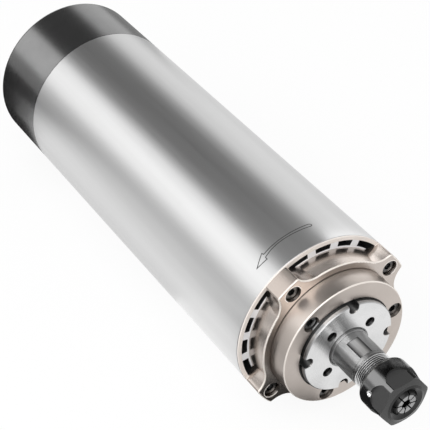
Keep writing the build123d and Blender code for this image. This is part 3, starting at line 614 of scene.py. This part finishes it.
# Painted shade: the side of the rim is painted darker, and its foot near black as a painted shadow line.
recolour_band(turned_cap, grey(0.52), roughness=0.4, From=rim_foot, To=cap_front - 0.02 * mm, Inner=rim_reach)
recolour_band(turned_cap, grey(0.07), roughness=0.5, From=rim_foot, To=cap_front - 1.4 * mm, Inner=rim_reach)
# Painted shade: the notches and the inside of the cap are painted darker, deepest inside.
recolour_band(turned_cap, grey(0.12), roughness=0.5, To=cap_front - 0.4 * mm, Outer=cap_radius - 0.35 * mm)
recolour_band(turned_cap, grey(0.02), roughness=0.5, To=cap_front - 1.2 * mm, Outer=13.6 * mm)
dress(turned_cap, "bearing_cap")

# %% [markdown]
# ## The ribbed frame
# The frame is an extrusion, sawn and faced at its ends. Its finish is near black, as painted shade
# for the dark deep in its air channels. Its faced ends are painted whiter and less like a mirror
# than bare metal, as painted light in the pocket that the flange shades. The bright ends could be
# a second material on the end faces. A thin band at the front end does the same in one material.

# %% Frame
# Painted shade: near black, for the dark deep in the air channels.
frame_alloy = finish("frame_black_ends_bright", grey(0.012), grey(0.02), rough=(0.3, 0.45), metallic=0.0)
# Painted light: the faced front ends are painted whiter than bare metal.
recolour_band(frame_alloy, (0.92, 0.92, 0.93), metallic=0.35, roughness=0.4, From=tube_front - 0.05 * mm,
              To=tube_front + 0.1 * mm)
dress(frame_alloy, "motor_frame")

# %% [markdown]
# ## Shaft and collet
# Both are hardened steel, ground round, which leaves marks across the axis. The shaft mirrors the
# soft boxes in long soft stripes, and plain roughness would blur them both ways, so it is strongly
# anisotropic. The collet's cone, where it drops back from its face into the nut's mouth, is painted
# near black as painted shade.

# %% Ground steel and collet
ground_steel = finish("ground_steel", grey(0.33), grey(0.40), rough=(0.34, 0.40), stretch=CROSSWISE,
                      scale=9000.0, bump=0.2, anisotropic=0.95)
collet_steel = finish("collet_steel", grey(0.30), grey(0.38), rough=(0.16, 0.26), scale=2500.0, bump=0.15)
# Painted shade: the cone behind the collet's face is painted near black.
recolour_band(collet_steel, grey(0.03), roughness=0.4, Inner=3.6 * mm)
dress(ground_steel, "spindle_shaft", "bearing_spacer_outer", "bearing_spacer_inner", "bearing_lock_nut")
dress(collet_steel, "collet")

# %% [markdown]
# ## The wrench flats
# A wrench holds the shaft by two milled flats. Because they mirror another part of the room than
# the round does, they are painted brighter, as a painted reflection, and painted darker towards
# their long edges, as painted shade. Their faces could be split off the solid. A mask leaves it
# whole: it is 1 where a point lies in the plane of a flat, within the flats' length.

# %% Wrench flats
flat_angle, flat_height, flat_slack = math.radians(13.9), 6.6 * mm, 0.02 * mm
flats_rear, flats_front = shaft_front - 21.2 * mm, shaft_front - 13.3 * mm
shade_from, shade_to = 0.6 * mm, 2.2 * mm


def distance_along(tree, way):
    """How far a point lies from the axis along one direction, to either side."""
    part = add(tree, "ShaderNodeVectorMath", operation="DOT_PRODUCT")
    part.inputs[1].default_value = way
    tree.links.new(object_place(tree), part.inputs[0])
    return math_node(tree, "ABSOLUTE", part.outputs["Value"])


tree = ground_steel.node_tree
height = distance_along(tree, (0, -math.sin(flat_angle), math.cos(flat_angle)))
aside = distance_along(tree, (0, -math.cos(flat_angle), -math.sin(flat_angle)))
off_plane = math_node(tree, "ABSOLUTE", math_node(tree, "SUBTRACT", height, flat_height))
on_flat = math_node(tree, "MULTIPLY", math_node(tree, "LESS_THAN", off_plane, flat_slack),
                    place_group(tree, band, From=flats_rear, To=flats_front, Inner=6.5 * mm, Outer=7.1 * mm))
# Painted reflection: the flats are painted brighter than the round.
recolour(ground_steel, on_flat, grey(0.68))
to_edge = fitted(tree, aside, shade_from, shade_to).outputs[0]
# Painted shade: the flats are painted darker towards their long edges.
recolour(ground_steel, math_node(tree, "MULTIPLY", on_flat, to_edge), grey(0.06))
print("flats from", round(flats_rear / mm, 1), "to", round(flats_front / mm, 1), "mm")

# %% [markdown]
# ## The nut and the screws
# All are blackened steel. The nut was turned first and its hexagon milled after, so its round is
# smoother and mirrors more, its flats are dull, and its rear lip is left bright. One small dimple
# is drilled bright into the collar. The marks follow the solid's own radii, so no face is picked.

# %% Blackened nut and screws
turned_skin = 0.12 * mm
turned_from = nut_radius - turned_skin
black_oxide = finish("black_oxide", grey(0.045), grey(0.055), rough=(0.24, 0.33), scale=2600.0, bump=0.2)
recolour_band(black_oxide, grey(0.19), roughness=0.2, From=nut_rear - 0.1 * mm, To=nut_front - 0.05 * mm,
              Inner=turned_from)
recolour_band(black_oxide, grey(0.034), metallic=0.0, roughness=0.5, From=nut_rear + 0.5 * mm,
              To=nut_front - 0.1 * mm, Inner=7.2 * mm, Outer=turned_from)
recolour_band(black_oxide, grey(0.7), metallic=1.0, roughness=0.2, From=nut_rear - 0.1 * mm,
              To=nut_rear + 0.6 * mm, Outer=7.6 * mm)
screw_black = finish("screw_black", grey(0.10), grey(0.14), rough=(0.22, 0.34), scale=3000.0, bump=0.2)
dress(black_oxide, "collet_nut")
dress(screw_black, "flange_screws", "housing_screws", "rear_plate_screws", "cover_screws")

# %% The bright dimple in the nut
dimple_centre = around_axis(angle=73.4, reach=9.8 * mm, along=nut_rear + 5.3 * mm)
dimple_radius = 1.22 * mm
tree = black_oxide.node_tree
away = add(tree, "ShaderNodeVectorMath", operation="DISTANCE")
away.inputs[1].default_value = dimple_centre
tree.links.new(object_place(tree), away.inputs[0])
drilled = math_node(tree, "LESS_THAN", away.outputs["Value"], dimple_radius)
recolour(black_oxide, drilled, grey(0.8), metallic=1.0, roughness=0.25)
print("dimple centre in mm", [round(v / mm, 2) for v in dimple_centre])

# %% [markdown]
# ## The thread on the nose
# The nut runs on a fine thread with 0.75 mm between its turns. The solid has a plain cylinder
# there. A bump could draw rings on it, but the thread shows at the outline too. So the shaft is
# copied, the thread's length is brought in to the bottom of the thread, and one ridge then follows
# a spiral round it.

# %% Core of the threaded shaft
thread_rear, thread_front = shaft_front - 12.2 * mm, shaft_front - 0.5 * mm
thread_crest, thread_root, thread_pitch = 7.0 * mm, 6.56 * mm, 0.75 * mm
merge_reach, same_place = 1e-6, 1e-5

steel_mesh = nodes["spindle_shaft"].data.copy()
shape = bmesh.new()
shape.from_mesh(steel_mesh)
bmesh.ops.remove_doubles(shape, verts=shape.verts, dist=merge_reach)
moved = 0
for vert in shape.verts:
    reach = math.hypot(vert.co.y, vert.co.z)
    on_thread = thread_rear - same_place < vert.co.x < thread_front + same_place
    if on_thread and abs(reach - thread_crest) < same_place:
        vert.co.y *= thread_root / reach
        vert.co.z *= thread_root / reach
        moved += 1
shape.to_mesh(steel_mesh)
shape.free()
print("points brought in to the thread's bottom:", moved)

# %% Shading of the threaded shaft


def smooth_shape(mesh, sharp):
    """Smooth faces with hard edges, from the angle in degrees at which an edge counts as hard."""
    stored = mesh.attributes.get("custom_normal")
    if stored:
        mesh.attributes.remove(stored)
    mesh.shade_smooth()
    mesh.set_sharp_from_angle(angle=math.radians(sharp))


smooth_shape(steel_mesh, sharp=14)
threaded = placed("threaded_shaft", steel_mesh)
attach(threaded, "rotor")
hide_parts("spindle_shaft")
print("threaded shaft has", len(steel_mesh.polygons), "faces")

# %% [markdown]
# ## The ridge of the thread
# A thread is cut by a tool that moves one pitch for each turn. A screw modifier could follow it,
# but a node tree keeps turns, radius, length and height as plain inputs. It sweeps a four-sided
# section, half sunk in the core, along a spiral, which gives both flanks. The spiral is built round
# Z, so it is laid down along X. Its steel is bright on the crest, and the groove is painted near
# black as painted shade.

# %% Steel of the thread
cut_steel = finish("cut_steel", grey(0.84), grey(0.9), rough=(0.34, 0.38), bump=0.02)
# Painted shade: the groove of the thread is painted near black.
recolour_band(cut_steel, grey(0.05), roughness=0.5, Outer=6.79 * mm)

# %% A node tree that winds a ridge
run_out, half_width, steps_per_turn = 0.4, 0.35 * mm, 72
turns = (thread_front - thread_rear) / thread_pitch - run_out
sizes = {
    "Turns": turns, "Radius": thread_root, "Length": turns * thread_pitch,
    "Height": thread_crest - thread_root, "Half Width": half_width, "Start": thread_rear + half_width,
}

winding = bpy.data.node_groups.new("ridge_on_a_spiral", "GeometryNodeTree")
winding.interface.new_socket("Geometry", in_out="OUTPUT", socket_type="NodeSocketGeometry")
settings = []
for label, value in sizes.items():
    socket = winding.interface.new_socket(label, in_out="INPUT", socket_type=FLOAT)
    settings.append((socket.identifier, value))
socket = winding.interface.new_socket("Finish", in_out="INPUT", socket_type="NodeSocketMaterial")
settings.append((socket.identifier, cut_steel))
print("the ridge makes", round(turns, 2), "turns")

# %% The nodes of the ridge
given = add(winding, "NodeGroupInput")
made = add(winding, "NodeGroupOutput")
spiral = add(winding, "GeometryNodeCurveSpiral", Resolution=steps_per_turn)
upright = add(winding, "GeometryNodeSetCurveNormal", mode="Z_UP")
section = add(winding, "GeometryNodeCurvePrimitiveQuadrilateral", mode="KITE")
sweep = add(winding, "GeometryNodeCurveToMesh", **{"Fill Caps": True})
lay_down = add(winding, "GeometryNodeTransform", Rotation=(0, math.pi / 2, 0))
shift = add(winding, "ShaderNodeCombineXYZ")
real = add(winding, "GeometryNodeRealizeInstances")
paint = add(winding, "GeometryNodeSetMaterial")
full_height = math_node(winding, "MULTIPLY", given.outputs["Height"], 2.0)
for source, node, target in (
    (given.outputs["Turns"], spiral, "Rotations"), (given.outputs["Radius"], spiral, "Start Radius"),
    (given.outputs["Radius"], spiral, "End Radius"), (given.outputs["Length"], spiral, "Height"),
    (full_height, section, 0), (given.outputs["Half Width"], section, "Bottom Height"),
    (given.outputs["Half Width"], section, "Top Height"), (spiral.outputs[0], upright, "Curve"),
    (upright.outputs[0], sweep, "Curve"), (section.outputs[0], sweep, "Profile Curve"),
    (sweep.outputs[0], lay_down, "Geometry"), (given.outputs["Start"], shift, "X"),
    (shift.outputs[0], lay_down, "Translation"), (lay_down.outputs[0], real, "Geometry"),
    (real.outputs[0], paint, "Geometry"), (given.outputs["Finish"], paint, "Material"),
    (paint.outputs[0], made, "Geometry"),
):
    winding.links.new(source, node.inputs[target])
print("the tree has", len(winding.nodes), "nodes")

# %% The ridge as a plain mesh


def baked_tree(name, tree, settings):
    """A plain mesh object from a node tree, with the tree's inputs set by identifier."""
    holder = placed(name + "_holder", bpy.data.meshes.new(name))
    modifier = holder.modifiers.new("nodes", "NODES")
    modifier.node_group = tree
    for identifier, value in settings:
        modifier[identifier] = value
    bpy.context.view_layer.update()
    mesh = bpy.data.meshes.new_from_object(holder.evaluated_get(bpy.context.evaluated_depsgraph_get()))
    bpy.data.objects.remove(holder)
    return placed(name, mesh)


def turn_outward(mesh):
    """Points all faces of a closed mesh outwards."""
    shape = bmesh.new()
    shape.from_mesh(mesh)
    bmesh.ops.recalc_face_normals(shape, faces=shape.faces)
    shape.to_mesh(mesh)
    shape.free()


thread = baked_tree("nose_thread", winding, settings)
turn_outward(thread.data)
smooth_shape(thread.data, sharp=30)
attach(thread, "rotor")
reaches = [math.hypot(v.co.y, v.co.z) / mm for v in thread.data.vertices]
along = [v.co.x / mm for v in thread.data.vertices]
print("thread from", round(min(along), 2), "to", round(max(along), 2), "mm, crest", round(max(reaches), 2),
      "mm,", len(thread.data.polygons), "faces")

# %% [markdown]
# ## The turning arrow on the tube
# The tube carries the outline of a curved arrow that shows which way the spindle turns. It is
# thin ink. A mask could draw it, but a flat ribbon a few microns above the tube keeps its edges
# sharp. The outline is given as places along the axis and angles round it, cut into short steps,
# and each step is bent onto the tube, because a straight quad would dip under the surface.

# %% Arrow outline
arrow_outline = [
    (66.65, -2.8), (66.62, 4.8), (66.62, 10.9), (66.68, 17.9), (66.95, 25.1), (67.35, 30.5), (66.5, 30.9),
    (69.5, 39.0), (69.8, 31.0), (68.75, 30.9), (68.0, 26.0), (67.62, 20.7), (67.52, 16.0), (67.58, 10.0),
    (67.72, 4.2), (67.85, -0.5), (67.93, -3.1), (67.75, -3.9), (67.3, -4.25), (66.9, -3.8),
]
tube_arc = math.radians(1) * body_radius / mm
unrolled_arrow = [Vector((x, angle * tube_arc)) for x, angle in arrow_outline]
print("one degree round the tube is", round(tube_arc, 3), "mm")

# %% Sides of a ribbon
ink_width, ink_thickness, step_length, corner_limit = 0.32, 0.008, 0.35, 0.35


def ribbon_sides(outline, width):
    """The two sides of a closed flat ribbon, as a pair of points at each corner of its outline."""
    sides = []
    for k, corner in enumerate(outline):
        before = (corner - outline[k - 1]).normalized()
        after = (outline[(k + 1) % len(outline)] - corner).normalized()
        across = Vector((-after.y, after.x))
        lean = (Vector((-before.y, before.x)) + across).normalized()
        reach = lean * (width / 2 / max(corner_limit, lean.dot(across)))
        sides.append((corner + reach, corner - reach))
    return sides


print("ink line in mm:", ink_width, "wide,", ink_thickness, "thick")

# %% Ribbon on the tube


def ribbon_round_tube(name, outline, width):
    """A closed ribbon along an outline in mm, cut into short steps and bent onto the tube."""
    sides = ribbon_sides(outline, width)
    rows = []
    for k, here in enumerate(sides):
        there, corner = sides[(k + 1) % len(sides)], outline[(k + 1) % len(sides)]
        steps = max(1, round((corner - outline[k]).length / step_length))
        rows += [[a.lerp(b, n / steps) for a, b in zip(here, there)] for n in range(steps)]
    height = body_radius + ink_thickness * mm
    points = [around_axis(p.y / tube_arc, height, p.x * mm) for row in rows for p in row]
    count = len(rows)
    faces = [(2 * k, 2 * k + 1, 2 * ((k + 1) % count) + 1, 2 * ((k + 1) % count)) for k in range(count)]
    mesh = bpy.data.meshes.new(name)
    mesh.from_pydata(points, [], faces)
    mesh.update()
    if mesh.polygons[0].normal.dot(mesh.vertices[0].co * Vector((0, 1, 1))) < 0:
        mesh.flip_normals()
    return placed(name, mesh)


# %% The arrow in ink
ink = finish("arrow_ink", grey(0.03), grey(0.05), rough=(0.45, 0.6), metallic=0.0, scale=4000.0)
arrow = ribbon_round_tube("turning_arrow", unrolled_arrow, ink_width)
arrow.data.materials.append(ink)
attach(arrow, "motor_body")
print("arrow ribbon has", len(arrow.data.polygons), "faces")

# %% [markdown]
# ## The bearings and the motor inside
# Nothing here shows in the picture, but an opened model shows it. Each piece gets the finish that
# such a piece has: polished races and balls, cages of brown resin, stacks of thin grey sheets, and
# copper windings. Plain colours would do from afar. The same finish helper costs no more and gives
# sheets and wires their fine lines.

# %% Bearings and motor
front_a, front_b, rear = "front_bearing_a", "front_bearing_b", "rear_bearing"
race_steel = finish("bearing_race_steel", grey(0.60), grey(0.66), rough=(0.10, 0.18), stretch=CROSSWISE,
                    scale=8000.0)
dress(race_steel, *(f"{bearing}_{part}" for bearing in (front_a, front_b, rear)
                    for part in ("outer_race", "inner_race", "balls")))
cage_resin = finish("cage_resin", (0.20, 0.10, 0.045), (0.26, 0.13, 0.06), rough=(0.4, 0.55), metallic=0.0,
                    scale=1800.0)
dress(cage_resin, *(f"{bearing}_cage" for bearing in (front_a, front_b, rear)))
sheet_stack = finish("sheet_stack", grey(0.26), grey(0.36), rough=(0.35, 0.5), stretch=CROSSWISE,
                     scale=2000.0, tone_scale=2000.0, bump=0.5)
dress(sheet_stack, "stator_core", "rotor_core")
wound_copper = finish("wound_copper", (0.42, 0.13, 0.04), (0.62, 0.22, 0.07), rough=(0.25, 0.45),
                      metallic=0.9, marks=turning, scale=1600.0, bump=0.6)
dress(wound_copper, "stator_windings")
cast_alloy = finish("cast_alloy", grey(0.50), grey(0.58), rough=(0.4, 0.55), scale=900.0, bump=0.3)
dress(cast_alloy, "rear_plate", "rotor_cage")

# %% [markdown]
# ## The rear end and the socket
# From behind, the cover's slots show the fan, and the socket stands out of the cover. Its shell is
# nickel plated, its pins have a flash of gold, and its insert is black resin. The leads wear soft
# red jackets, and the springs are the dark grey that tempering leaves. Only numbers differ between
# these finishes, so each one is a call of the same helper.

# %% Fan, springs, socket and leads
fan_resin = finish("fan_resin", grey(0.025), grey(0.035), rough=(0.4, 0.55), metallic=0.0, scale=1400.0)
dress(fan_resin, "cooling_fan")
spring_steel = finish("spring_steel", grey(0.30), grey(0.38), rough=(0.22, 0.32), stretch=LENGTHWISE,
                      scale=2500.0)
dress(spring_steel, "wave_washer", "fan_clip")
nickel_plate = finish("nickel_plate", (0.62, 0.60, 0.56), (0.68, 0.66, 0.61), rough=(0.14, 0.24),
                      scale=2200.0)
dress(nickel_plate, "connector_shell", "connector_nut")
socket_resin = finish("socket_resin", grey(0.02), grey(0.03), rough=(0.35, 0.5), metallic=0.0, scale=1800.0)
dress(socket_resin, "connector_insert")
gold_flash = finish("gold_flash", (0.72, 0.50, 0.20), (0.80, 0.58, 0.26), rough=(0.18, 0.28), scale=2500.0)
dress(gold_flash, "connector_pins")
silicone_jacket = finish("silicone_jacket", (0.30, 0.02, 0.015), (0.38, 0.035, 0.02), rough=(0.45, 0.6),
                         metallic=0.0)
dress(silicone_jacket, "motor_leads")
